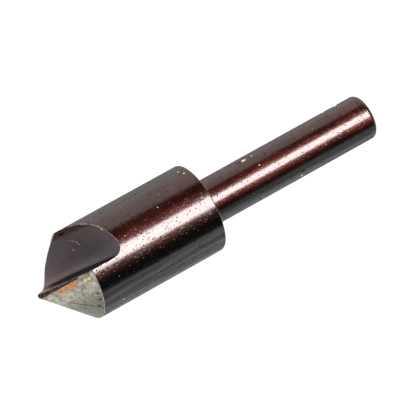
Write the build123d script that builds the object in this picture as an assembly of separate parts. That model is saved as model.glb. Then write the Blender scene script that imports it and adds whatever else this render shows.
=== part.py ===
from build123d import *
from math import radians, tan
import os

# Single-flute 90 degree countersink, in millimetres.
# The tool axis is X: the cutting point is towards -X and the shank's free end face is at the origin.
# The tool is turned about X so that its flute opens upwards, as it settles on a bench.

# Whole tool
OVERALL_LENGTH = 50.0       # from the sharp apex of the cone to the shank's free end

# Cutter head
HEAD_DIAMETER = 12.0
HEAD_LENGTH = 24.3          # from the sharp apex to the shoulder
POINT_ANGLE = 90.0          # included angle of the cutting cone
TIP_RADIUS = 0.15           # small worn flat at the very point
SHOULDER_ROUND = 0.2

# Shank, and the spigot that seats it in the head
SHANK_DIAMETER = 6.0
SHANK_END_ROUND = 0.4
SPIGOT_DIAMETER = 5.0
SPIGOT_LENGTH = 12.0
SPIGOT_CHAMFER = 0.4
SEAT_POINT_ANGLE = 118.0    # drill point left at the bottom of the seat

# Grinding wheel whose sweep is the flute
WHEEL_RADIUS = 15.5
WHEEL_WIDTH = 8.0
WHEEL_CORNER = 1.7          # rounded rim, which leaves a fillet between rake face and wall
WHEEL_AHEAD = 3.5           # wheel centre beyond the apex, along the tool axis
WHEEL_OFFSET = 11.8         # wheel centre beside the tool axis, along the rake face
RAKE_HEIGHT = 0.3           # rake face above the tool axis, so the very point stays whole
FLUTE_ROLL = 50.0           # turn of the rake face up from the horizontal

# Places worked out from the sizes above
HEAD_RADIUS = HEAD_DIAMETER / 2
SHANK_RADIUS = SHANK_DIAMETER / 2
SPIGOT_RADIUS = SPIGOT_DIAMETER / 2
HALF_POINT_TAN = tan(radians(POINT_ANGLE / 2))
APEX_X = -OVERALL_LENGTH
TIP_X = APEX_X + TIP_RADIUS / HALF_POINT_TAN
CONE_BASE_X = APEX_X + HEAD_RADIUS / HALF_POINT_TAN
SHOULDER_X = APEX_X + HEAD_LENGTH
SEAT_X = SHOULDER_X - SPIGOT_LENGTH
SEAT_POINT_X = SEAT_X - SPIGOT_RADIUS / tan(radians(SEAT_POINT_ANGLE / 2))


def turned(*outline):
    """Solid of revolution about X; the outline is a closed run of (x, radius) points."""
    with BuildPart() as solid:
        with BuildSketch(Plane.XY):
            with BuildLine():
                Polyline(*outline, close=True)
            make_face()
        revolve(axis=Axis.X)
    return solid.part


def rim(solid, x, radius):
    """The circular edge of a turned solid with this place and radius."""
    circles = solid.edges().filter_by(GeomType.CIRCLE)
    return circles.filter_by(lambda edge: abs(edge.arc_center.X - x) + abs(edge.radius - radius) < 1e-3)


def head_blank():
    """Cone, cylinder and rounded shoulder, before the seat and the flute are cut."""
    blank = turned(
        (TIP_X, 0),
        (TIP_X, TIP_RADIUS),
        (CONE_BASE_X, HEAD_RADIUS),
        (SHOULDER_X, HEAD_RADIUS),
        (SHOULDER_X, 0),
    )
    return fillet(rim(blank, SHOULDER_X, HEAD_RADIUS), SHOULDER_ROUND)


def seat():
    """Blind drilled hole for the spigot, open at the shoulder."""
    return turned(
        (SEAT_POINT_X, 0),
        (SEAT_X, SPIGOT_RADIUS),
        (SHOULDER_X, SPIGOT_RADIUS),
        (SHOULDER_X, 0),
    )


def flute():
    """The grinding wheel in its place: its flat side makes the rake face, just above the axis."""
    wheel = Cylinder(WHEEL_RADIUS, WHEEL_WIDTH, align=(Align.CENTER, Align.CENTER, Align.MIN))
    wheel = fillet(wheel.edges().group_by(Axis.Z)[0], WHEEL_CORNER)
    wheel = Pos(APEX_X - WHEEL_AHEAD, -WHEEL_OFFSET, RAKE_HEIGHT) * wheel
    return Rot(X=-FLUTE_ROLL) * wheel


def cutter_head():
    return head_blank() - seat() - flute()


def shank():
    """Straight shank against the shoulder, its narrower spigot filling the seat in the head."""
    pin = turned(
        (SEAT_X, 0),
        (SEAT_X, SPIGOT_RADIUS - SPIGOT_CHAMFER),
        (SEAT_X + SPIGOT_CHAMFER, SPIGOT_RADIUS),
        (SHOULDER_X, SPIGOT_RADIUS),
        (SHOULDER_X, SHANK_RADIUS),
        (0, SHANK_RADIUS),
        (0, 0),
    )
    return fillet(rim(pin, 0, SHANK_RADIUS), SHANK_END_ROUND)


os.makedirs("parts", exist_ok=True)
export_step(cutter_head(), "parts/cutter_head.step")
export_step(shank(), "parts/shank.step")
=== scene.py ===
import math

import bpy
import numpy as np
from mathutils import Matrix, Vector, noise
from mathutils.geometry import delaunay_2d_cdt

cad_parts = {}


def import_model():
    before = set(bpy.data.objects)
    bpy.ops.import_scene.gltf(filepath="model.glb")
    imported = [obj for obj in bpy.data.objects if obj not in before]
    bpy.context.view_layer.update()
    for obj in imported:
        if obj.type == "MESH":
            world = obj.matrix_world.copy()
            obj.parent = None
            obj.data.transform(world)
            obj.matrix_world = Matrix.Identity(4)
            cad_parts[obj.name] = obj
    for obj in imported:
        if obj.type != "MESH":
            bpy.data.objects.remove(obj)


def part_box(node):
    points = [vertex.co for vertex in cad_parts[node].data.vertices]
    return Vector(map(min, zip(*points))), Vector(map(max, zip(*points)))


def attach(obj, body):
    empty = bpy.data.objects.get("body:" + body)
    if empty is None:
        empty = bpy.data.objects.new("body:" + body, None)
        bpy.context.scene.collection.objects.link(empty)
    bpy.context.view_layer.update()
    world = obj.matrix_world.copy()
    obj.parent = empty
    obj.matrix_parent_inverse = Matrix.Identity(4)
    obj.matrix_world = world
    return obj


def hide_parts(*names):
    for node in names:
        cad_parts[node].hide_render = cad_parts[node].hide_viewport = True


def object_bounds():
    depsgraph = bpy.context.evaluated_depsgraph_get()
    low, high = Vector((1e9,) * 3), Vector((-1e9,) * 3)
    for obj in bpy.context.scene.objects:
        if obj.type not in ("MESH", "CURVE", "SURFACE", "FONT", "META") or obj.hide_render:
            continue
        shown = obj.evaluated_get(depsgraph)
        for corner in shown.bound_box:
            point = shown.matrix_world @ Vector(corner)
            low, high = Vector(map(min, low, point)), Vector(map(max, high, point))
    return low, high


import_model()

# A worn single-flute countersink on a pale floor.
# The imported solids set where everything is; the two visible pieces are rebuilt here as fine meshes.
# Shapes are worked out in millimetres and stored in metres.
MM = 0.001
CAD_LOW, CAD_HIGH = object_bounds()
HEAD_LOW, HEAD_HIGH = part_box("cutter_head")
SHANK_LOW, SHANK_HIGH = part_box("shank")

# ---- sizes read from the frame
# The round surfaces are this much smaller than the solids', to stay inside their boxes.
CLEARANCE = 0.001


def boxed_radius(low, high):
    """The radius, in millimetres, that fits in a round solid's box."""
    return min(-low[1], high[1], -low[2], high[2]) / MM - CLEARANCE


TIP_RADIUS = 0.15
HEAD_RADIUS = boxed_radius(HEAD_LOW, HEAD_HIGH)
SHANK_RADIUS = boxed_radius(SHANK_LOW, SHANK_HIGH)
# Where the cone would come to a sharp apex; the distances after it are measured from there.
APEX_X = HEAD_LOW[0] / MM - TIP_RADIUS
CONE_LENGTH = HEAD_RADIUS
SHOULDER = HEAD_HIGH[0] / MM - APEX_X
SHANK_END = SHANK_HIGH[0] / MM - APEX_X
SEAT = SHANK_LOW[0] / MM - APEX_X

# ---- sizes of the ground shape
SPIGOT_RADIUS = 2.5
SPIGOT_CHAMFER = 0.4
SEAT_POINT = 1.5
SHOULDER_ROUND = 0.2
SHANK_END_ROUND = 0.65
# The wheel that ground the flute turned about a line square to the rake face, ahead of the apex
# and off to the side that p points to. Its rim ends in a rounded corner.
WHEEL_RADIUS = 15.5
WHEEL_CORNER = 1.7
WHEEL_AHEAD = 3.5
WHEEL_OFFSET = 11.8
# The rake face's height over the axis, and its turn about the axis.
RAKE_HEIGHT = 0.3
FLUTE_ROLL = math.radians(50)
# Where the blunt tip gives way to the cone.
NOSE = 0.22
RAKE_OUT = np.array([0, -math.cos(FLUTE_ROLL), math.sin(FLUTE_ROLL)])
RAKE_NORMAL = np.array([0, math.sin(FLUTE_ROLL), math.cos(FLUTE_ROLL)])
AXIS = np.array([1.0, 0, 0])

# Tool coordinates, in millimetres: s along the axis from the sharp apex, p outwards along the
# rake face and q up off it. Angles about the axis run from p towards q.

# A length too small to matter, and how often a search halves its range.
TINY = 1e-12
HALVINGS = 60


def placed(spq):
    """Row-frame points, in millimetres, from rows of (s, p, q)."""
    spq = np.asarray(spq, float)
    return (spq[:, :1] + APEX_X) * AXIS + spq[:, 1:2] * RAKE_OUT + spq[:, 2:] * RAKE_NORMAL


def turned(spq):
    """Row-frame directions from rows of (s, p, q) directions."""
    spq = np.asarray(spq, float)
    return spq[:, :1] * AXIS + spq[:, 1:2] * RAKE_OUT + spq[:, 2:] * RAKE_NORMAL


def columns(*parts):
    """Rows put together from their columns."""
    return np.stack(parts, axis=1)


def unit(v):
    """Rows scaled to length one."""
    return v / np.maximum(np.linalg.norm(v, axis=1, keepdims=True), TINY)


def respaced(points, gap):
    """A polyline's points moved to even spacing, its two ends kept."""
    run = np.concatenate([[0], np.cumsum(np.linalg.norm(np.diff(points, axis=0), axis=1))])
    count = max(2, int(round(run[-1] / gap)) + 1)
    at = np.linspace(0, run[-1], count)
    return columns(*[np.interp(at, run, points[:, k]) for k in range(3)])


def root(f, low, high):
    """Where an increasing function crosses zero between each low and high, by halving."""
    low, high = np.array(low, float), np.array(high, float)
    for _ in range(HALVINGS):
        middle = (low + high) / 2
        below = f(middle) < 0
        low, high = np.where(below, middle, low), np.where(below, high, middle)
    return (low + high) / 2


# ---- the three surfaces of the head
def nearest_turn(angle, near):
    """Each angle moved by whole turns to lie closest to another."""
    return angle + 2 * math.pi * np.round((near - angle) / (2 * math.pi))


class Cut:
    """What the grinding wheel leaves: flat rake face, fillet and hollow wall, as one surface.
    Its chart is (angle about the wheel times its radius, distance across its rim), and needs
    no angle hint."""

    flat = WHEEL_RADIUS - WHEEL_CORNER
    turn = WHEEL_CORNER * math.pi / 2

    @classmethod
    def reach(cls, q):
        """The wheel's radius at a height over the tool axis."""
        up = WHEEL_CORNER - np.clip(q - RAKE_HEIGHT, 0, WHEEL_CORNER)
        return cls.flat + np.sqrt(WHEEL_CORNER**2 - up**2)

    @classmethod
    def chart(cls, spq, near=None):
        s, p, q = spq.T
        rho = np.hypot(s + WHEEL_AHEAD, WHEEL_OFFSET - p)
        angle = np.arctan2(WHEEL_OFFSET - p, s + WHEEL_AHEAD)
        up = q - RAKE_HEIGHT
        bend = np.arctan2(np.maximum(rho - cls.flat, 0), np.maximum(WHEEL_CORNER - up, 1e-9))
        across = np.where(up >= WHEEL_CORNER, cls.turn + up - WHEEL_CORNER, WHEEL_CORNER * bend)
        across = np.where((up < 1e-6) & (rho < cls.flat), rho - cls.flat, across)
        return columns(angle * WHEEL_RADIUS, across)

    @classmethod
    def profile(cls, across):
        """Radius, height over the axis and lean of the rim, at distances across it."""
        bend = np.clip(across, 0, cls.turn) / WHEEL_CORNER
        rho = cls.flat + np.minimum(across, 0) + WHEEL_CORNER * np.sin(bend)
        up = WHEEL_CORNER * (1 - np.cos(bend)) + np.maximum(across - cls.turn, 0)
        return rho, up + RAKE_HEIGHT, bend

    @classmethod
    def point(cls, uv):
        angle = uv[:, 0] / WHEEL_RADIUS
        rho, q, _ = cls.profile(uv[:, 1])
        return columns(
            rho * np.cos(angle) - WHEEL_AHEAD, WHEEL_OFFSET - rho * np.sin(angle), q
        )

    @classmethod
    def normal(cls, uv):
        angle = uv[:, 0] / WHEEL_RADIUS
        _, _, bend = cls.profile(uv[:, 1])
        lean = np.sin(bend)
        return columns(-lean * np.cos(angle), lean * np.sin(angle), np.cos(bend))


class Barrel:
    """The cylinder. Its chart is (arc length round, s)."""

    @staticmethod
    def chart(spq, near):
        s, p, q = spq.T
        angle = nearest_turn(np.arctan2(q, p), near)
        return columns(angle * HEAD_RADIUS, s)

    @staticmethod
    def point(uv):
        angle = uv[:, 0] / HEAD_RADIUS
        return columns(uv[:, 1], HEAD_RADIUS * np.cos(angle), HEAD_RADIUS * np.sin(angle))

    @staticmethod
    def normal(uv):
        angle = uv[:, 0] / HEAD_RADIUS
        return columns(np.zeros(len(uv)), np.cos(angle), np.sin(angle))


class Cone:
    """The cutting cone, unrolled flat about its apex."""

    slope = math.sqrt(0.5)
    # Angles in the unrolled cone past this one belong to its other end.
    fold = 1.2

    @classmethod
    def chart(cls, spq, near):
        s, p, q = spq.T
        around = nearest_turn(np.arctan2(q, p), near) * cls.slope
        along = s / cls.slope
        return columns(along * np.cos(around), along * np.sin(around))

    @classmethod
    def polar(cls, uv):
        """Distance along the axis and angle about it."""
        around = np.arctan2(uv[:, 1], uv[:, 0])
        around = np.where(around > cls.fold, around - 2 * math.pi, around)
        return np.hypot(uv[:, 0], uv[:, 1]) * cls.slope, around / cls.slope

    @classmethod
    def point(cls, uv):
        s, angle = cls.polar(uv)
        return columns(s, s * np.cos(angle), s * np.sin(angle))

    @classmethod
    def normal(cls, uv):
        _, angle = cls.polar(uv)
        side = cls.slope
        return columns(np.full(len(uv), -side), side * np.cos(angle), side * np.sin(angle))


# ---- edges of the head
# Spacing of points: along edges, along the fine edges by the tip, in the flute and on the cone,
# and on the cylinder.
EDGE_GAP = 0.12
TIP_GAP = 0.05
FINE_GAP = 0.2
BARREL_GAP = 0.25
# How far out along the lip the fine spacing reaches.
TIP_REACH = 1.0


def barrel_edge(angle):
    """The flute's outline on the cylinder, at angles about the axis."""
    p, q = HEAD_RADIUS * np.cos(angle), HEAD_RADIUS * np.sin(angle)
    s = np.sqrt(Cut.reach(q) ** 2 - (WHEEL_OFFSET - p) ** 2) - WHEEL_AHEAD
    return columns(s, p, q)


def cone_edge(q):
    """The flute's outline on the far side of the cone, at heights over the tool axis."""

    def outside(back):
        return np.hypot(np.hypot(back, q) + WHEEL_AHEAD, WHEEL_OFFSET + back) - Cut.reach(q)

    back = root(outside, np.zeros(len(q)), np.full(len(q), CONE_LENGTH))
    return columns(np.hypot(back, q), -back, q)


def lip_edge(p):
    """Where the rake face meets the cone: the cutting lip, or the heel where p is negative."""
    return columns(np.hypot(p, RAKE_HEIGHT), p, np.full(len(p), RAKE_HEIGHT))


def past_base(angle):
    """How far the flute's outline on the cylinder has run ahead of the cone's base."""
    return CONE_LENGTH - barrel_edge(angle)[:, 0]


# Where the flute cuts the rim of the cone's base, at the lip and on the far side, and where
# the cylinder and the cone's base are cut open.
LIP_ANGLE = math.asin(RAKE_HEIGHT / HEAD_RADIUS)
FAR_ANGLE = float(root(past_base, [math.radians(60)], [math.radians(130)])[0])
SEAM_ANGLE = math.radians(-135)
# Points of an edge before it is evenly spaced.
CURVE_POINTS = 4000


def straight(a, b, gap=EDGE_GAP):
    return respaced(np.array([a, b], float), gap)


def ring(s, radius, start, end, gap=EDGE_GAP):
    count = int(abs(end - start) * radius / gap) + 2
    angle = np.linspace(start, end, count)
    return columns(np.full(count, s), radius * np.cos(angle), radius * np.sin(angle))


def edges():
    """The sharp edges of the head, each from corner to corner, and the cuts that let the cone
    and the cylinder lie flat in their charts."""
    dense = np.linspace(0, 1, CURVE_POINTS)
    outline = respaced(barrel_edge(LIP_ANGLE + dense**2 * (FAR_ANGLE - LIP_ANGLE)), EDGE_GAP)
    top = HEAD_RADIUS * math.sin(FAR_ANGLE)
    front = respaced(cone_edge(top + (RAKE_HEIGHT - top) * (1 - (1 - dense) ** 2)), EDGE_GAP)
    lip_end = HEAD_RADIUS * math.cos(LIP_ANGLE)
    near = respaced(lip_edge(dense * TIP_REACH), TIP_GAP)
    far = respaced(lip_edge(TIP_REACH + dense * (lip_end - TIP_REACH)), EDGE_GAP)
    heel = respaced(lip_edge(front[-1][1] * (1 - dense)), TIP_GAP)
    seam_side = HEAD_RADIUS * np.array([math.cos(SEAM_ANGLE), math.sin(SEAM_ANGLE)])
    return {
        "lip": np.concatenate([near, far[1:]]),
        "heel": heel,
        "margin": straight(far[-1], outline[0]),
        "outline": outline,
        "front": front,
        "slit": straight([NOSE, 0, NOSE], [RAKE_HEIGHT, 0, RAKE_HEIGHT], TIP_GAP),
        "nose": ring(NOSE, NOSE, math.pi / 2, -1.5 * math.pi, TIP_GAP),
        "base": ring(CONE_LENGTH, HEAD_RADIUS, LIP_ANGLE, SEAM_ANGLE),
        "far_base": ring(CONE_LENGTH, HEAD_RADIUS, SEAM_ANGLE, FAR_ANGLE - 2 * math.pi),
        "seam": straight(
            [CONE_LENGTH, *seam_side], [SHOULDER - SHOULDER_ROUND, *seam_side], BARREL_GAP
        ),
    }


# ---- wear along the edges
def wavy(points, low, high, scale, shift):
    """A slowly changing width along an edge, from low to high."""
    values = [noise.noise(Vector(p) * scale + Vector((shift, 0, 0))) for p in points]
    return low + (high - low) * np.clip(0.5 + 0.9 * np.array(values), 0, 1)


# Broken bits of the lip: distance along the axis, depth, half-length.
LIP_CHIPS = ((1.7, 0.05, 0.12), (4.4, 0.10, 0.20), (5.2, 0.15, 0.28), (5.85, 0.17, 0.2))
# Wear at the very tip, and how far out it has grown to the lip's own.
TIP_WEAR = 0.012
TIP_WEAR_REACH = 0.7


def lip_wear(points):
    """How wide the lip and the heel are worn: chipped along the lip, least at the tip."""
    width = wavy(points, 0.03, 0.06, 2.1, 3.0)
    for at, depth, half in LIP_CHIPS:
        chip = depth * np.clip(1 - ((points[:, 0] - at) / half) ** 2, 0, 1)
        width = width + np.where(points[:, 1] > 0, chip, 0)
    grown = np.clip(np.abs(points[:, 1]) / TIP_WEAR_REACH, 0, 1)
    return TIP_WEAR + (width - TIP_WEAR) * grown


# The width of the worn land on each sharp edge; other edges have none.
WEAR = {
    "lip": lip_wear,
    "margin": lambda points: wavy(points, 0.03, 0.09, 1.7, 5.0),
    "outline": lambda points: wavy(points, 0.02, 0.07, 1.9, 7.0),
    "front": lambda points: wavy(points, 0.015, 0.03, 1.6, 9.0),
    "heel": lip_wear,
    "base": lambda points: wavy(points, 0.012, 0.028, 1.5, 13.0),
    "far_base": lambda points: wavy(points, 0.012, 0.028, 1.5, 13.0),
}


# ---- a mesh put together from patches
# Points are tested against a polygon this many at a time.
CHUNK = 2000
# Filling points keep this share of their spacing from a patch's border.
BORDER_SHARE = 0.55
# Rows of faces across a worn land.
LAND_STEPS = 3
# Points that round to the same multiple of this are one point.
WELD = 2e-5


def inside(points, polygon):
    """Which chart points lie inside a closed polygon."""
    x, y = points[:, :1], points[:, 1:]
    ax, ay = polygon[:, 0], polygon[:, 1]
    bx, by = np.roll(ax, -1), np.roll(ay, -1)
    rise = np.where(by == ay, TINY, by - ay)
    crossing = ((ay > y) != (by > y)) & (x < (bx - ax) * (y - ay) / rise + ax)
    return crossing.sum(axis=1) % 2 == 1


def clear_of(points, polygon, gap):
    """Which chart points keep at least this distance from a closed polygon's sides."""
    a, b = polygon, np.roll(polygon, -1, axis=0)
    side = b - a
    kept = np.ones(len(points), bool)
    for start in range(0, len(points), CHUNK):
        p = points[start : start + CHUNK, None, :] - a
        t = np.clip((p * side).sum(2) / np.maximum((side * side).sum(1), TINY), 0, 1)
        away = np.linalg.norm(p - t[..., None] * side, axis=2).min(axis=1)
        kept[start : start + CHUNK] = away >= gap
    return kept


def hex_grid(low, high, gap):
    """Points of a triangular grid over a rectangle."""
    rows = np.arange(low[1], high[1], gap * math.sqrt(0.75))
    along = np.arange(low[0], high[0], gap)
    x = along[None, :] + np.where(np.arange(len(rows)) % 2, gap / 2, 0)[:, None]
    y = np.repeat(rows[:, None], len(along), axis=1)
    return columns(x.ravel(), y.ravel())


class Shell:
    """Vertices with their own normals, and faces; vertices at one place are joined at the end."""

    def __init__(self):
        self.points, self.normals, self.faces, self.slots = [], [], [], []

    def add(self, spq, normals):
        """New vertices; returns their ids."""
        start = len(self.points)
        self.points.extend(np.asarray(spq))
        self.normals.extend(unit(np.asarray(normals)))
        return np.arange(start, start + len(spq))

    def face(self, ids, slot):
        self.faces.append(tuple(int(i) for i in ids))
        self.slots.append(slot)

    def patch(self, surface, sides, gap, slot):
        """Fills a closed loop of edges on one surface, set in from each edge by its wear.
        sides are (name, points in loop order, angle hint): the hint is the angle about the axis
        near which the edge is charted. Returns the border's ids by name."""
        offsets = []
        for name, points, near in sides:
            normal = surface.normal(surface.chart(points, near))
            along = unit(np.gradient(points, axis=0))
            width = WEAR[name](points) if name in WEAR else np.zeros(len(points))
            offsets.append((unit(np.cross(normal, along)), width))
        turn = self.winding(surface, sides)
        outline = []
        for k, (name, points, near) in enumerate(sides):
            inward, width = offsets[k]
            shift = turn * inward * width[:, None]
            before, after = offsets[k - 1], offsets[(k + 1) % len(offsets)]
            shift[0] = turn * corner(before[0][-1], before[1][-1], inward[0], width[0])
            shift[-1] = turn * corner(inward[-1], width[-1], after[0][0], after[1][0])
            outline.append((name, surface.chart(points + shift, near)))
        loop = np.concatenate([uv[:-1] for _, uv in outline])
        low, high = loop.min(axis=0), loop.max(axis=0)
        filling = hex_grid(low, high, gap)
        filling = filling[inside(filling, loop)]
        filling = filling[clear_of(filling, loop, gap * BORDER_SHARE)]
        everything = np.concatenate([loop, filling])
        border = [list(range(len(loop)))]
        made = delaunay_2d_cdt([Vector(uv) for uv in everything], [], border, 1, 1e-6)
        corners, triangles, sources = made[0], made[2], made[3]
        kept = np.array(
            [everything[own[0]] if own else tuple(at) for at, own in zip(corners, sources)]
        )
        ids = self.add(surface.point(kept), surface.normal(kept))
        for triangle in triangles:
            self.face(ids[list(triangle)], slot)
        return {name: self.add(surface.point(uv), surface.normal(uv)) for name, uv in outline}

    @staticmethod
    def winding(surface, sides):
        """1 if the loop runs anticlockwise seen from outside, else -1."""
        loop = np.concatenate([surface.chart(points, near)[:-1] for _, points, near in sides])
        x, y = loop.T
        area = (x * np.roll(y, -1) - y * np.roll(x, -1)).sum()
        middle = loop[:1]
        step = 1e-3
        across = surface.point(middle + [step, 0]) - surface.point(middle)
        up = surface.point(middle + [0, step]) - surface.point(middle)
        outward = (np.cross(across, up) * surface.normal(middle)).sum()
        return 1.0 if area * outward > 0 else -1.0

    def join(self, rows, slot):
        """Faces between each row of points and the next."""
        for low, high in zip(rows, rows[1:]):
            for i in range(len(low) - 1):
                self.face((low[i], low[i + 1], high[i + 1], high[i]), slot)

    def strip(self, edge, first, second, slot):
        """A rounded land over a sharp edge, from one patch's border to the other's."""
        a, b = np.array(self.points)[first], np.array(self.points)[second]
        na, nb = np.array(self.normals)[first], np.array(self.normals)[second]
        rows = []
        for k in range(LAND_STEPS + 1):
            t = k / LAND_STEPS
            point = (1 - t) ** 2 * a + 2 * t * (1 - t) * edge + t**2 * b
            rows.append(self.add(point, (1 - t) * na + t * nb))
        self.join(rows, slot)

    def revolve(self, profile, angles, slot):
        """Surface of revolution from (s, radius, normal s, normal radius) rows."""
        c, n = np.cos(angles), np.sin(angles)
        rows = []
        for s, radius, lean, reach in profile:
            points = columns(np.full(len(angles), s), radius * c, radius * n)
            normals = columns(np.full(len(angles), lean), reach * c, reach * n)
            rows.append(self.add(points, normals))
        self.join(rows, slot)

    def welded(self):
        """The points with those at one place joined, and which of them each vertex became."""
        points = np.array(self.points)
        keys = np.round(points / WELD).astype(np.int64)
        _, first, index = np.unique(keys, axis=0, return_index=True, return_inverse=True)
        return points[first], index.ravel()

    def close_gaps(self, slot):
        """Fills each small open loop with a fan about its middle."""
        _, index = self.welded()
        uses = {}
        for face in self.faces:
            around = [index[i] for i in face]
            for k, i in enumerate(around):
                j = around[(k + 1) % len(around)]
                if i != j:
                    pair = (min(i, j), max(i, j))
                    uses[pair] = uses.get(pair, 0) + 1
        following = {}
        for (i, j), count in uses.items():
            if count == 1:
                following.setdefault(i, []).append(j)
                following.setdefault(j, []).append(i)
        done = set()
        loops = []
        for start in sorted(following):
            if start in done:
                continue
            loop, here = [], start
            while here not in done:
                done.add(here)
                loop.append(here)
                onward = [there for there in following[here] if there not in done]
                if not onward:
                    break
                here = onward[0]
            loops.append(loop)
        points = np.array(self.points)
        normals = np.array(self.normals)
        for loop in loops:
            members = [np.nonzero(index == w)[0] for w in loop]
            ids = [m[0] for m in members]
            mean_normal = unit(np.array([normals[m].mean(axis=0) for m in members]))
            ring_ids = self.add(points[ids], mean_normal)
            middle = self.add([points[ids].mean(axis=0)], [mean_normal.mean(axis=0)])[0]
            for k in range(len(ring_ids)):
                self.face((ring_ids[k], ring_ids[(k + 1) % len(ring_ids)], middle), slot)


# Past this cosine two edges count as one that runs on.
NEARLY_ALONG = 0.9


def corner(inward_a, width_a, inward_b, width_b):
    """The shift of a corner that sets it in from two edges at once."""
    dot = float(inward_a @ inward_b)
    if dot > NEARLY_ALONG:
        return (inward_a + inward_b) / 2 * (width_a + width_b) / 2
    share = 1 / (1 - dot * dot)
    return (
        (width_a - dot * width_b) * share * inward_a + (width_b - dot * width_a) * share * inward_b
    )


# ---- the two pieces
OXIDE, GROUND, FLUTE, WORN = 0, 1, 2, 3
DOME_ROWS = 7
BORE_ROWS = 13


def rounded_end(end, radius, rounding, round_rows, inner, face_rows):
    """Profile rows over a rounded rim and in across a flat face that looks along the axis."""
    profile = []
    for k in range(round_rows):
        turn = math.radians(90) * k / (round_rows - 1)
        reach = radius - rounding + rounding * math.cos(turn)
        s = end - rounding + rounding * math.sin(turn)
        profile.append((s, reach, math.sin(turn), math.cos(turn)))
    for across in np.linspace(radius - rounding, inner, face_rows)[1:]:
        profile.append((end, across, 1, 0))
    return profile


def head_shell():
    """The cutter head: flute, cone, cylinder, worn lands, tip, shoulder and bore."""
    line = edges()
    back = {name: points[::-1] for name, points in line.items()}
    top = SHOULDER - SHOULDER_ROUND
    around = ring(top, HEAD_RADIUS, SEAM_ANGLE + 2 * math.pi, SEAM_ANGLE, BARREL_GAP)
    # The angle about the axis of each point of the rear rim.
    hints = np.linspace(SEAM_ANGLE + 2 * math.pi, SEAM_ANGLE, len(around))
    nose_angles = np.linspace(math.pi / 2, -1.5 * math.pi, len(line["nose"]))
    shell = Shell()
    cut = shell.patch(
        Cut,
        [(name, line[name], None) for name in ("heel", "lip", "margin", "outline", "front")],
        FINE_GAP,
        FLUTE,
    )
    cone = shell.patch(
        Cone,
        [
            ("slit", line["slit"], math.radians(90)),
            ("lip", line["lip"], math.radians(45)),
            ("base", line["base"], math.radians(-67)),
            ("far_base", line["far_base"], math.radians(-202)),
            ("front", line["front"], math.radians(-225)),
            ("heel", line["heel"], math.radians(-225)),
            ("slit_back", back["slit"], math.radians(-270)),
            ("nose", back["nose"], nose_angles[::-1]),
        ],
        FINE_GAP,
        GROUND,
    )
    barrel = shell.patch(
        Barrel,
        [
            ("base", back["base"], math.radians(-67)),
            ("margin", line["margin"], 0),
            ("outline", line["outline"], math.radians(45)),
            ("far_base", back["far_base"], math.radians(157)),
            ("seam", line["seam"], math.radians(225)),
            ("around", around, hints),
            ("seam_back", back["seam"], math.radians(-135)),
        ],
        BARREL_GAP,
        OXIDE,
    )
    for name, other in (
        ("lip", cone["lip"]),
        ("front", cone["front"]),
        ("heel", cone["heel"]),
        ("margin", barrel["margin"]),
        ("outline", barrel["outline"]),
    ):
        shell.strip(line[name], cut[name], other, WORN)
    for name in ("base", "far_base"):
        shell.strip(line[name], cone[name], barrel[name][::-1], WORN)

    dome = []
    for t in np.linspace(0, 1, DOME_ROWS):
        # A quadratic curve that leaves along the cone and arrives square to the axis.
        s = (1 - t) ** 2 * NOSE + (1 - (1 - t) ** 2) * TIP_RADIUS
        radius = (1 - t) ** 2 * NOSE + 2 * t * (1 - t) * TIP_RADIUS
        run = (1 - t) * (TIP_RADIUS - NOSE)
        drop = (1 - t) * (TIP_RADIUS - NOSE) - t * TIP_RADIUS
        dome.append((s, radius, drop, -run))
    shell.revolve(dome, nose_angles, GROUND)

    # The middle of the shoulder's rounding takes the worn-edge material: rubbed metal, and a painted
    # highlight line along the rim.
    profile = rounded_end(SHOULDER, HEAD_RADIUS, SHOULDER_ROUND, 5, SPIGOT_RADIUS, 8)
    shell.revolve(profile[:3], hints, OXIDE)
    shell.revolve(profile[2:4], hints, WORN)
    shell.revolve(profile[3:], hints, OXIDE)
    bore = [(s, SPIGOT_RADIUS, 0, -1) for s in np.linspace(SHOULDER, SEAT, BORE_ROWS)]
    shell.revolve(bore, hints, GROUND)
    shell.revolve([(SEAT, SPIGOT_RADIUS, 1, -1), (SEAT - SEAT_POINT, 0, 1, -1)], hints, GROUND)
    shell.close_gaps(WORN)
    return shell


def linked(name, data):
    """A new object, in the scene."""
    made = bpy.data.objects.new(name, data)
    bpy.context.scene.collection.objects.link(made)
    return made


def made_object(shell, name, materials):
    """The shell as a closed mesh object, in metres, with its own shading normals."""
    points, index = shell.welded()
    points = placed(points)
    normals = turned(np.array(shell.normals))
    faces, slots, corner_normals = [], [], []
    for face, slot in zip(shell.faces, shell.slots):
        ids = [index[i] for i in face]
        keep = [k for k in range(len(ids)) if ids[k] != ids[k - 1]]
        if len(keep) < 3:
            continue
        corners = [ids[k] for k in keep]
        own = normals[[face[k] for k in keep]]
        a, b, c = points[corners[0]], points[corners[1]], points[corners[2]]
        flat = np.cross(b - a, c - a)
        if len(keep) == 4:
            flat = np.cross(points[corners[2]] - a, points[corners[3]] - b)
        if flat @ own.sum(axis=0) < 0:
            corners, own = corners[::-1], own[::-1]
        faces.append(corners)
        slots.append(slot)
        corner_normals.append(own)
    mesh = bpy.data.meshes.new(name)
    mesh.from_pydata((points * MM).tolist(), [], [list(map(int, f)) for f in faces])
    mesh.polygons.foreach_set("use_smooth", [True] * len(faces))
    mesh.polygons.foreach_set("material_index", slots)
    mesh.normals_split_custom_set(np.concatenate(corner_normals).tolist())
    for material in materials:
        mesh.materials.append(material)
    return linked(name, mesh)


# ---- the shank's mesh
# Dents: distance along the axis, angle about it in degrees, half-length, half-width, depth.
SHANK_DENTS = (
    (47.0, 96, 0.42, 1.5, 0.25),
    (45.1, 96, 0.3, 1.1, 0.09),
    (32.0, 62, 0.42, 0.24, 0.05),
    (31.35, 62, 0.3, 0.2, 0.05),
    (33.2, 63, 0.16, 0.14, 0.03),
)
SHANK_SIDES = 160
SHANK_STEP = 0.15
SPIGOT_ROWS = 12
# The step over which a dent's slope is measured.
NUDGE = 1e-3


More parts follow.
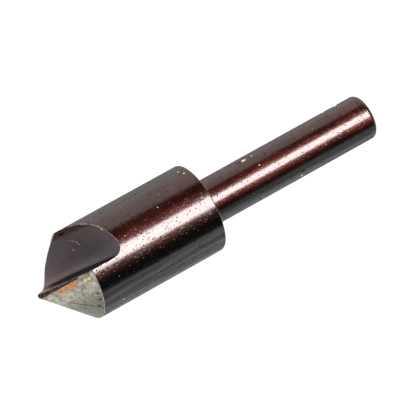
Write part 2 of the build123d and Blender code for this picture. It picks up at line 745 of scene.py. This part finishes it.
def dent_depth(s, angle):
    """How far the shank's surface is pressed in, in millimetres."""
    depth = np.zeros(np.broadcast(s, angle).shape)
    for at, about, half_length, half_width, deep in SHANK_DENTS:
        along = (s - at) / half_length
        across = (angle - math.radians(about)) * SHANK_RADIUS / half_width
        depth = depth + deep * np.clip(1 - along**2 - across**2, 0, 1) ** 1.5
    return depth


def shank_shell():
    """The shank: spigot, step, dented side and rounded free end."""
    shell = Shell()
    angles = np.linspace(math.radians(-170), math.radians(190), SHANK_SIDES + 1)
    inner = SPIGOT_RADIUS - SPIGOT_CHAMFER
    full = SEAT + SPIGOT_CHAMFER
    shell.revolve([(SEAT, 0, -1, 0), (SEAT, inner, -1, 0)], angles, GROUND)
    shell.revolve([(SEAT, inner, -1, 1), (full, SPIGOT_RADIUS, -1, 1)], angles, GROUND)
    spigot = np.linspace(full, SHOULDER, SPIGOT_ROWS)
    shell.revolve([(s, SPIGOT_RADIUS, 0, 1) for s in spigot], angles, GROUND)
    step = np.linspace(SPIGOT_RADIUS, SHANK_RADIUS, 3)
    shell.revolve([(SHOULDER, radius, -1, 0) for radius in step], angles, GROUND)

    last = SHANK_END - SHANK_END_ROUND
    rows = np.linspace(SHOULDER, last, int((last - SHOULDER) / SHANK_STEP) + 1)
    c, n = np.cos(angles), np.sin(angles)
    ids = []
    for s in rows:
        radius = SHANK_RADIUS - dent_depth(s, angles)
        lean = dent_depth(s + NUDGE, angles) - dent_depth(s - NUDGE, angles)
        lean = lean / (2 * NUDGE)
        twist = dent_depth(s, angles + NUDGE) - dent_depth(s, angles - NUDGE)
        twist = twist / (2 * NUDGE * SHANK_RADIUS)
        points = columns(np.full(len(angles), s), radius * c, radius * n)
        ids.append(shell.add(points, columns(lean, c - twist * n, n + twist * c)))
    shell.join(ids, OXIDE)
    end = rounded_end(SHANK_END, SHANK_RADIUS, SHANK_END_ROUND, 7, 0, 9)
    shell.revolve(end, angles, OXIDE)
    return shell


# ---- materials
# Where a stain begins and where it is solid, in half-lengths from its middle.
STAIN_RIM = (1.15, 0.75)


class Paint:
    """One node material, painted in tool coordinates in millimetres."""

    def __init__(self, name):
        self.material = bpy.data.materials.new(name)
        self.material.use_nodes = True
        tree = self.material.node_tree
        self.nodes, self.links = tree.nodes, tree.links
        self.shader = self.nodes["Principled BSDF"]
        metres = self.node("TexCoord").outputs["Object"]
        place = self.vector("MULTIPLY_ADD", metres, (1 / MM,) * 3, (-APEX_X, 0, 0))
        self.s = self.vector("DOT_PRODUCT", place, tuple(AXIS))
        self.p = self.vector("DOT_PRODUCT", place, tuple(RAKE_OUT))
        self.q = self.vector("DOT_PRODUCT", place, tuple(RAKE_NORMAL))
        self.place = self.join(self.s, self.p, self.q)

    def feed(self, socket, value):
        """Links another node's output to a socket, or sets the socket's own value."""
        if isinstance(value, bpy.types.NodeSocket):
            self.links.new(value, socket)
        elif hasattr(socket.default_value, "__len__") and len(value) < len(socket.default_value):
            socket.default_value = (*value, 1)
        else:
            socket.default_value = value

    def node(self, kind, *values, **settings):
        """A new node with its settings made and then its first inputs fed."""
        made = self.nodes.new("ShaderNode" + kind)
        for name, value in settings.items():
            setattr(made, name, value)
        for socket, value in zip(made.inputs, values):
            self.feed(socket, value)
        return made

    def vector(self, operation, *inputs):
        single = operation in ("DOT_PRODUCT", "LENGTH")
        made = self.node("VectorMath", *inputs, operation=operation)
        return made.outputs["Value" if single else "Vector"]

    def join(self, x, y, z):
        return self.node("CombineXYZ", x, y, z).outputs[0]

    def math(self, operation, *inputs):
        return self.node("Math", *inputs, operation=operation).outputs[0]

    def fade(self, value, first, last, start=0.0, end=1.0):
        """Runs smoothly from start, where the value is first, to end, where it is last."""
        fed = (value, first, last, start, end)
        return self.node("MapRange", *fed, interpolation_type="SMOOTHSTEP").outputs[0]

    def noise(self, stretch, detail=2.0, shift=0.0):
        """Noise with this many waves a millimetre along s, p and q."""
        node = self.node("TexNoise")
        spread = self.vector("MULTIPLY_ADD", self.place, stretch, (shift, shift, shift))
        self.feed(node.inputs["Vector"], spread)
        self.feed(node.inputs["Scale"], 1.0)
        self.feed(node.inputs["Detail"], detail)
        return node.outputs["Fac"]

    def dots(self, each, radius, share, shift=0.0, core=0.6):
        """A mask of round dots: cells a millimetre, dot radius in cells, share of cells with a
        dot, and the share of the radius that is solid."""
        node = self.node("TexVoronoi")
        spread = self.vector("MULTIPLY_ADD", self.place, (each,) * 3, (shift, shift, shift))
        self.feed(node.inputs["Vector"], spread)
        self.feed(node.inputs["Scale"], 1.0)
        chosen = self.node("SeparateColor", node.outputs["Color"])
        there = self.math("LESS_THAN", chosen.outputs[0], share)
        return self.both(there, self.fade(node.outputs["Distance"], radius, radius * core))

    def blot(self, s, angle, radius, half_length, half_width, ragged):
        """A mask of one stain centred on the surface at s and an angle in degrees."""
        turn = math.radians(angle)
        centre = (-s, -radius * math.cos(turn), -radius * math.sin(turn))
        off = self.vector("ADD", self.place, centre)
        off = self.vector("MULTIPLY", off, (1 / half_length, 1 / half_width, 1 / half_width))
        return self.fade(self.math("ADD", self.vector("LENGTH", off), ragged), *STAIN_RIM)

    def stains(self, rows, ragged, radius=None):
        """A mask of several stains, on a cylinder of this radius or, without one, on the cone."""
        masks = [self.blot(s, angle, radius or s, a, b, ragged) for s, angle, a, b in rows]
        return self.either(*masks)

    def scratch(self, s, q, half_length, half_width, slope, ragged):
        """A mask of one mark on the flute's wall at s and a height over the axis."""
        leaning = self.math("MULTIPLY_ADD", self.s, slope, self.q)
        off = self.vector("ADD", self.join(self.s, 0.0, leaning), (-s, 0, -q - slope * s))
        off = self.vector("MULTIPLY", off, (1 / half_length, 0, 1 / half_width))
        return self.fade(self.math("ADD", self.vector("LENGTH", off), ragged), *STAIN_RIM)

    def either(self, *masks):
        whole = masks[0]
        for mask in masks[1:]:
            whole = self.math("MAXIMUM", whole, mask)
        return whole

    def both(self, *masks):
        whole = masks[0]
        for mask in masks[1:]:
            whole = self.math("MULTIPLY", whole, mask)
        return whole

    def mix(self, factor, a, b):
        node = self.node("Mix", factor, data_type="RGBA")
        self.feed(node.inputs[6], a)
        self.feed(node.inputs[7], b)
        return node.outputs[2]

    def blend(self, value, first, last, colours):
        """Runs from one colour, where the value is first, to another, where it is last."""
        return self.mix(self.fade(value, first, last), *colours)

    def bump(self, height, depth):
        """Bumps whose height runs from 0 to depth millimetres."""
        node = self.node("Bump")
        self.feed(node.inputs["Height"], height)
        self.feed(node.inputs["Distance"], depth * MM)
        return node.outputs[0]

    def set(self, **values):
        for name, value in values.items():
            self.feed(self.shader.inputs[name.replace("_", " ")], value)


# Marks on head, shank and cone: distance along the axis, angle about it in degrees,
# half-length, half-width.
HEAD_CHIPS = ((23.1, 66, 0.1, 0.1), (23.4, 57, 0.12, 0.1), (17.6, 31, 0.1, 0.1), (8.8, -57, 0.1, 0.1))
HEAD_PITS = ((21.0, 60, 0.1, 0.1), (16.0, 20, 0.12, 0.1))
SHANK_CHIPS = (
    (32.0, 62, 0.36, 0.17),
    (33.2, 63, 0.12, 0.1),
    (33.1, 26, 0.1, 0.08),
    (38.1, -60, 0.12, 0.2),
    (40.0, -80, 0.1, 0.1),
)
SHANK_PITS = ((31.35, 62, 0.3, 0.12), (31.0, 68, 0.15, 0.1), (38.3, -45, 0.2, 0.15))
BRONZE = ((0.018, 0.0026, 0.0010), (0.036, 0.0066, 0.0034))
UNDERSIDE_SHADE_BLACK = (0.0015, 0.0006, 0.0004)
UNDERSIDE_SHADE_DARK = (0.002, 0.0016, 0.0015)
UNDERSIDE_SHADE_GREY = (0.020, 0.018, 0.018)
BLACK_BROWN = (0.012, 0.006, 0.005)
BRASSY = (0.85, 0.78, 0.6)
PAINTED_GLINT = (0.50, 0.30, 0.27)
FLECK = (0.45, 0.34, 0.28)


def oxide(name, radius, chips, pits, warmth, drop, under_gloss, haze):
    """Bronze-brown oxide under a thin oily gloss, with grains, streaks and worn specks, painted
    shade on the lower side and painted glints beside the highlight. warmth is how red it is,
    drop how many radii below the axis the painted shade turns it black, under_gloss how glossy
    the lower side is and how light its painted grey, and haze how blurred the gloss."""
    paint = Paint(name)

    def level(first, last, start=0.0, end=1.0):
        """A fade between two heights over the axis, in radii."""
        return paint.fade(paint.q, first * radius, last * radius, start, end)

    cloud = paint.noise((0.25, 0.6, 0.6), 3.0)
    streak = paint.noise((0.05, 1.3, 1.3), 3.0, 4.0)
    grain = paint.noise((4.5, 4.5, 4.5), 1.0, 9.0)
    bronze = [(red * warmth, green, blue) for red, green, blue in BRONZE]
    colour = paint.blend(cloud, 0.35, 0.65, bronze)
    # Painted shade of the lower side: black just below the axis, then streaked dark and neutral grey
    # further down.
    colour = paint.mix(level(-drop, -drop - 0.30), colour, UNDERSIDE_SHADE_BLACK)
    underside_shade_greys = (UNDERSIDE_SHADE_DARK, [part * under_gloss for part in UNDERSIDE_SHADE_GREY])
    grey = paint.blend(streak, 0.42, 0.58, underside_shade_greys)
    colour = paint.mix(level(-drop - 0.38, -drop - 0.60), colour, grey)

    dark = paint.dots(3.6, 0.33, 0.26, 0.0, 0.85)
    dome = paint.dots(6.5, 0.45, 0.40, 3.0, 0.0)
    # Painted glints: light specks kept to the band of heights beside the highlight.
    painted_glint = paint.dots(3.4, 0.23, 0.18, 5.0, 0.6)
    painted_glint = paint.both(painted_glint, level(0.65, 0.45), level(-0.34, -0.24), 0.48)
    light = paint.dots(2.6, 0.2, 0.02, 7.0)
    colour = paint.mix(dark, colour, BLACK_BROWN)
    colour = paint.mix(painted_glint, colour, PAINTED_GLINT)
    colour = paint.mix(light, colour, FLECK)
    ragged = paint.fade(grain, 0.2, 0.8, -0.35, 0.35)
    chip = paint.stains(chips, ragged, radius)
    pit = paint.stains(pits, ragged, radius)
    colour = paint.mix(pit, colour, BLACK_BROWN)
    colour = paint.mix(chip, colour, BRASSY)

    height = paint.math("ADD", paint.both(grain, 0.35), dome)
    bump = paint.bump(paint.math("SUBTRACT", height, paint.both(pit, 0.5)), 0.010)
    # The gloss thins where the side turns away, at the top, on the lower side and in streaks,
    # and is gone in pits and specks.
    facing = paint.node("LayerWeight").outputs["Facing"]
    bands = paint.both(level(-0.40, -0.55), paint.fade(streak, 0.60, 0.42))
    gloss = paint.both(
        paint.fade(facing, 0.40, 0.95, 1.0, 0.38),
        level(0.94, 1.0, 1.0, 0.70),
        level(-0.9, -0.3, 1.0, under_gloss),
        level(-0.3, -0.2, 1.0, 1.0 / under_gloss),
        paint.fade(bands, 0.0, 1.0, 1.0, 0.7),
        paint.fade(paint.either(dark, pit, chip), 0.0, 1.0, 1.0, 0.0),
    )
    rough = paint.fade(cloud, 0.3, 0.7, 0.43, 0.49)
    paint.set(
        Base_Color=colour,
        Metallic=1.0,
        Roughness=paint.math("ADD", rough, paint.both(dark, 0.3)),
        Specular_Tint=(0.30, 0.27, 0.26, 1),
        Normal=bump,
        Coat_Weight=gloss,
        Coat_IOR=1.55,
        Coat_Roughness=haze,
        Coat_Normal=bump,
    )
    return paint.material


CONE_HALO = ((2.7, -13, 2.0, 0.62),)
CONE_GOLD = ((5.2, -5, 0.9, 0.5),)
CONE_RUST = (
    (2.35, -14, 0.6, 0.32),
    (2.9, -10, 0.6, 0.30),
    (3.5, -6, 0.7, 0.42),
    (4.2, -3.5, 0.3, 0.2),
)
CONE_CREAM = (
    (4.95, -6.0, 0.36, 0.22),
    (5.35, -5.2, 0.55, 0.18),
    (5.75, -1, 0.16, 0.24),
    (5.6, -13, 0.3, 0.1),
)
CONE_BROWN = (
    (5.65, -28, 0.13, 0.2),
    (5.69, -38, 0.16, 0.24),
    (5.55, -49, 0.2, 0.22),
    (4.83, -74, 0.17, 0.2),
    (2.1, -40, 0.14, 0.12),
    (3.3, -46, 0.12, 0.12),
)
GREEN_GREY = ((0.275, 0.272, 0.213), (0.535, 0.525, 0.43))
PINK_GREY = ((0.33, 0.285, 0.225), (0.67, 0.60, 0.50))
RUST = ((0.62, 0.26, 0.05), (0.30, 0.10, 0.03))
OLD_BROWN = ((0.05, 0.028, 0.026), (0.13, 0.07, 0.055))
CONE_SHADE = (0.09, 0.09, 0.07)
CONE_PALE = (0.52, 0.50, 0.44)
CONE_GRIT = (0.13, 0.125, 0.10)
CONE_SPOT = (0.07, 0.055, 0.035)
HALO = (0.62, 0.47, 0.30)
GOLD = (0.42, 0.30, 0.15)
CREAM = (0.88, 0.77, 0.52)
STAIN_BROWN = (0.045, 0.028, 0.014)
LINE_BROWN = (0.08, 0.055, 0.03)
# The old brown by the lip reaches this height, along a direction that leans off q.
BAND_END = -0.39
BAND_LEAN = (0, -0.106, 0.994)
# A dark line that runs down the cone at this angle about the axis.
LINE_ANGLE = math.radians(-52.5)


def ground():
    """Bare ground steel on the cone: mottled grey, rust by the lip, old oxide at the very point."""
    paint = Paint("ground_steel")
    mottle = paint.noise((2.2, 2.2, 2.2), 4.0)
    fine = paint.noise((6.0, 6.0, 6.0), 3.0, 5.0)
    ragged = paint.fade(fine, 0.25, 0.75, -0.5, 0.5)
    warm = paint.noise((1.3, 1.3, 1.3), 3.0, 11.0)
    green = paint.blend(mottle, 0.35, 0.65, GREEN_GREY)
    pink = paint.blend(mottle, 0.35, 0.65, PINK_GREY)
    colour = paint.blend(warm, 0.46, 0.68, (green, pink))
    shadow = paint.fade(paint.q, -1.2, -3.8, 0.0, 0.8)
    colour = paint.mix(shadow, colour, CONE_SHADE)
    colour = paint.mix(paint.fade(fine, 0.52, 0.7, 0.0, 0.7), colour, CONE_PALE)
    colour = paint.mix(paint.fade(fine, 0.42, 0.28, 0.0, 0.8), colour, CONE_GRIT)
    colour = paint.mix(paint.dots(2.6, 0.26, 0.22), colour, CONE_SPOT)

    halo = paint.both(paint.stains(CONE_HALO, ragged), 0.55)
    colour = paint.mix(halo, colour, HALO)
    gold = paint.both(paint.stains(CONE_GOLD, ragged), 0.75)
    colour = paint.mix(gold, colour, GOLD)
    rust = paint.stains(CONE_RUST, ragged)
    colour = paint.mix(rust, colour, paint.blend(fine, 0.35, 0.65, RUST))
    colour = paint.mix(paint.stains(CONE_CREAM, ragged), colour, CREAM)
    colour = paint.mix(paint.stains(CONE_BROWN, ragged), colour, STAIN_BROWN)

    across = (0, -math.sin(LINE_ANGLE), math.cos(LINE_ANGLE))
    beside = paint.math("ABSOLUTE", paint.vector("DOT_PRODUCT", paint.place, across))
    dashes = paint.fade(paint.noise((1.7, 0.4, 0.4), 2.0, 2.0), 0.36, 0.46)
    line = paint.both(
        paint.fade(beside, 0.12, 0.05),
        paint.fade(paint.s, 2.7, 3.2),
        paint.fade(paint.p, 0.0, 0.3),
        dashes,
    )
    colour = paint.mix(line, colour, LINE_BROWN)

    rise = paint.vector("DOT_PRODUCT", paint.place, BAND_LEAN)
    rise = paint.math("ADD", rise, paint.both(ragged, 0.06))
    band = paint.both(
        paint.fade(rise, BAND_END - 0.05, BAND_END + 0.02),
        paint.fade(paint.s, 4.7, 4.2),
        paint.fade(paint.p, -0.3, 0.1),
    )
    band = paint.either(band, paint.fade(paint.s, 0.62, 0.4))
    colour = paint.mix(band, colour, paint.blend(mottle, 0.4, 0.6, OLD_BROWN))
    paint.set(
        Base_Color=colour,
        Metallic=paint.both(paint.fade(rust, 0.0, 1.0, 1.0, 0.1), 0.7),
        Roughness=paint.fade(fine, 0.3, 0.7, 0.38, 0.6),
        Normal=paint.bump(fine, 0.02),
    )
    return paint.material


# Marks in the flute: distance along the axis, height over it, half-length, half-width, slope.
FLUTE_SCRATCHES = (
    (7.22, 4.09, 0.27, 0.08, 0.95),
    (7.61, 3.52, 0.13, 0.11, 2.2),
    (6.9, 3.05, 0.12, 0.1, 1.0),
    (10.09, 4.0, 0.12, 0.14, 0.0),
)
FLUTE_SMUDGE = (6.55, 5.45, 0.3, 0.16, 0.0)
WALL = ((0.107, 0.098, 0.102), (0.140, 0.100, 0.107))
CORNER_SHADE = ((0.010, 0.008, 0.010), (0.14, 0.075, 0.06))
BRUSHED = (0.19, 0.15, 0.16)
WALL_PAINTED_LIGHT = (0.165, 0.145, 0.150)
RIM_BROWN = (0.06, 0.03, 0.02)
SCRATCH = (0.60, 0.50, 0.45)


def flute():
    """Dark, wheel-brushed wall with scratches, painted lighter low down towards the back as painted
    light; the rake face and its corner are painted nearly black as painted shade.
    """
    paint = Paint("flute_oxide")
    cloud = paint.noise((0.5, 0.5, 0.5), 3.0)
    brushed = paint.noise((0.5, 0.5, 9.0), 3.0, 3.0)
    fine = paint.noise((5.0, 5.0, 5.0), 3.0, 8.0)
    colour = paint.blend(cloud, 0.4, 0.6, WALL)
    colour = paint.mix(paint.fade(brushed, 0.5, 0.75, 0.0, 0.6), colour, BRUSHED)
    # Painted light: the low part of the wall towards the back is painted a lighter grey.
    far = paint.both(paint.fade(paint.q, 2.6, 1.2), paint.fade(paint.s, 5.0, 9.0))
    colour = paint.mix(far, colour, WALL_PAINTED_LIGHT)
    hollow = paint.both(paint.fade(paint.q, 2.4, 0.7), paint.fade(paint.q, 0.4, 0.6))
    # Painted shade in the corner between the rake face and the wall: near black, brown by the tip.
    corner_shade = paint.fade(paint.q, RAKE_HEIGHT + 0.24, RAKE_HEIGHT + 0.06)
    colour = paint.mix(corner_shade, colour, paint.blend(paint.s, 3.0, 1.5, CORNER_SHADE))
    rim = paint.fade(paint.math("ADD", paint.q, paint.both(fine, 1.2)), 5.5, 5.95)
    colour = paint.mix(paint.both(rim, 0.8), colour, RIM_BROWN)
    ragged = paint.fade(fine, 0.25, 0.75, -0.4, 0.4)
    scratched = paint.either(*[paint.scratch(*row, ragged) for row in FLUTE_SCRATCHES])
    broken = paint.fade(paint.noise((7.0, 7.0, 7.0), 1.0, 14.0), 0.38, 0.5)
    colour = paint.mix(paint.both(scratched, broken), colour, SCRATCH)
    colour = paint.mix(paint.scratch(*FLUTE_SMUDGE, ragged), colour, BLACK_BROWN)
    paint.set(
        Base_Color=colour,
        Metallic=paint.fade(hollow, 0.0, 1.0, 0.9, 0.5),
        Roughness=paint.fade(brushed, 0.3, 0.7, 0.42, 0.52),
        Normal=paint.bump(brushed, 0.012),
    )
    return paint.material


EDGE_DULL = (0.10, 0.06, 0.05)
EDGE_BRIGHT = (0.80, 0.60, 0.48)


def worn():
    """Edges rubbed back to bright metal here and there."""
    paint = Paint("worn_edge")
    rub = paint.fade(paint.noise((1.6, 1.6, 1.6), 4.0, 6.0), 0.37, 0.57)
    paint.set(
        Base_Color=paint.mix(rub, EDGE_DULL, EDGE_BRIGHT),
        Metallic=1.0,
        Roughness=paint.fade(rub, 0.0, 1.0, 0.5, 0.34),
    )
    return paint.material


# ---- the pieces, in their places
head_oxide = oxide("head_oxide", HEAD_RADIUS, HEAD_CHIPS, HEAD_PITS, 1.05, 0.0, 1.0, 0.17)
shank_oxide = oxide("shank_oxide", SHANK_RADIUS, SHANK_CHIPS, SHANK_PITS, 1.35, 0.2, 0.5, 0.20)
steel = ground()
head = made_object(head_shell(), "cutter_head_ground", [head_oxide, steel, flute(), worn()])
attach(head, "root")
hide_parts("cutter_head")
stem = made_object(shank_shell(), "shank_turned", [shank_oxide, steel])
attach(stem, "root")
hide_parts("shank")


# ---- floor, light and camera
# From here on lengths are in metres.
MIDDLE = Vector((-0.025, 0, 0))
FLOOR_HALF = 1.0
FLOOR_GREY = (0.12, 0.12, 0.12, 1)
FLOOR_GLOW = 0.98
FLAG_ENDS = (-0.16, 0.12)
FLAG_Y = -0.036
FLAG_TOP = 0.012
FLAG_LIFT = 0.001
FLAG_BLACK = (0.01, 0.01, 0.01, 1)
ROOM_LIGHT = (0.018, 0.018, 0.018, 1)
WHITE = (1, 1, 1, 1)


def card(name, corners, colour, roughness):
    """A flat four-cornered staging object, and its shader."""
    mesh = bpy.data.meshes.new(name)
    mesh.from_pydata(corners, [], [(0, 1, 2, 3)])
    made = linked(name, mesh)
    paint = bpy.data.materials.new(name + "_paint")
    paint.use_nodes = True
    shader = paint.node_tree.nodes["Principled BSDF"]
    shader.inputs["Base Color"].default_value = colour
    shader.inputs["Roughness"].default_value = roughness
    mesh.materials.append(paint)
    return made, shader


def floor():
    """A pale floor at the tool's lowest point, bright enough to read as white paper."""
    half, low = FLOOR_HALF, CAD_LOW[2]
    corners = [(-half, -half, low), (half, -half, low), (half, half, low), (-half, half, low)]
    _, shader = card("floor", corners, FLOOR_GREY, 0.9)
    shader.inputs["Specular IOR Level"].default_value = 0.0
    shader.inputs["Emission Color"].default_value = WHITE
    shader.inputs["Emission Strength"].default_value = FLOOR_GLOW


def panel(name, direction, distance, along, across, radiance, colour):
    """A rectangular soft light that faces the tool; along is its size in the axis's direction."""
    light = bpy.data.lights.new(name, "AREA")
    light.shape = "RECTANGLE"
    light.size, light.size_y = along, across
    light.energy = radiance * math.pi * along * across
    light.color = colour
    made = linked(name, light)
    away = Vector(direction).normalized()
    axis = Vector((1, 0, 0))
    beside = (axis - axis.dot(away) * away).normalized()
    turn = Matrix((beside, away.cross(beside), away)).transposed()
    made.matrix_world = Matrix.Translation(MIDDLE + away * distance) @ turn.to_4x4()
    made.visible_camera = False


def flag():
    """A low black card beside the tool, seen only in its reflections."""
    (left, right), low = FLAG_ENDS, CAD_LOW[2] + FLAG_LIFT
    corners = [(left, low), (right, low), (right, FLAG_TOP), (left, FLAG_TOP)]
    made, _ = card("flag", [(x, FLAG_Y, z) for x, z in corners], FLAG_BLACK, 1.0)
    made.visible_camera = False
    made.visible_diffuse = False
    made.visible_shadow = False


def world():
    """White to the camera, nearly dark to everything else."""
    made = bpy.data.worlds.new("studio")
    made.use_nodes = True
    nodes, links = made.node_tree.nodes, made.node_tree.links
    seen = nodes.new("ShaderNodeLightPath").outputs["Is Camera Ray"]
    mix = nodes.new("ShaderNodeMix")
    mix.data_type = "RGBA"
    links.new(seen, mix.inputs[0])
    mix.inputs[6].default_value = ROOM_LIGHT
    mix.inputs[7].default_value = WHITE
    links.new(mix.outputs[2], nodes["Background"].inputs["Color"])
    bpy.context.scene.world = made


# The camera's angle and place, in millimetres, and its lens, as fitted to the photograph.
CAMERA_AZIMUTH = math.radians(-33.56)
CAMERA_ELEVATION = math.radians(51.12)
CAMERA_ROLL = math.radians(-1.776)
CAMERA_DISTANCE = 561.7
CAMERA_TARGET = Vector((-24.672, -0.400, -0.269))
CAMERA_LENS = 388.93
CAMERA_SENSOR = 36


def camera():
    """The photograph's view."""
    data = bpy.data.cameras.new("camera")
    data.lens = CAMERA_LENS
    data.sensor_width = CAMERA_SENSOR
    data.clip_start, data.clip_end = 0.01, 10
    made = linked("camera", data)
    level = math.cos(CAMERA_ELEVATION)
    across, away = math.sin(CAMERA_AZIMUTH) * level, -math.cos(CAMERA_AZIMUTH) * level
    back = Vector((across, away, math.sin(CAMERA_ELEVATION)))
    turn = back.to_track_quat("Z", "Y").to_matrix() @ Matrix.Rotation(CAMERA_ROLL, 3, "Z")
    place = (CAMERA_TARGET + back * CAMERA_DISTANCE) * MM
    made.matrix_world = Matrix.Translation(place) @ turn.to_4x4()
    bpy.context.scene.camera = made


# Soft lights: name, direction from the tool, distance, sizes along and across, strength, colour.
# The key stands where the camera sees it mirrored as the long highlight.
PANELS = (
    ("key", (0.347, -0.539, 0.767), 0.5, 0.36, 0.23, 20.5, (1, 1, 1)),
    ("fill", (0.35, 0.78, 0.52), 0.6, 1.4, 0.70, 1.4, (1, 0.94, 0.90)),
    ("side", (-0.75, -0.6, 0.5), 0.6, 0.5, 0.5, 0.6, (1, 1, 1)),
)
floor()
world()
camera()
for row in PANELS:
    panel(*row)
flag()
bpy.context.scene.view_settings.view_transform = "Standard"
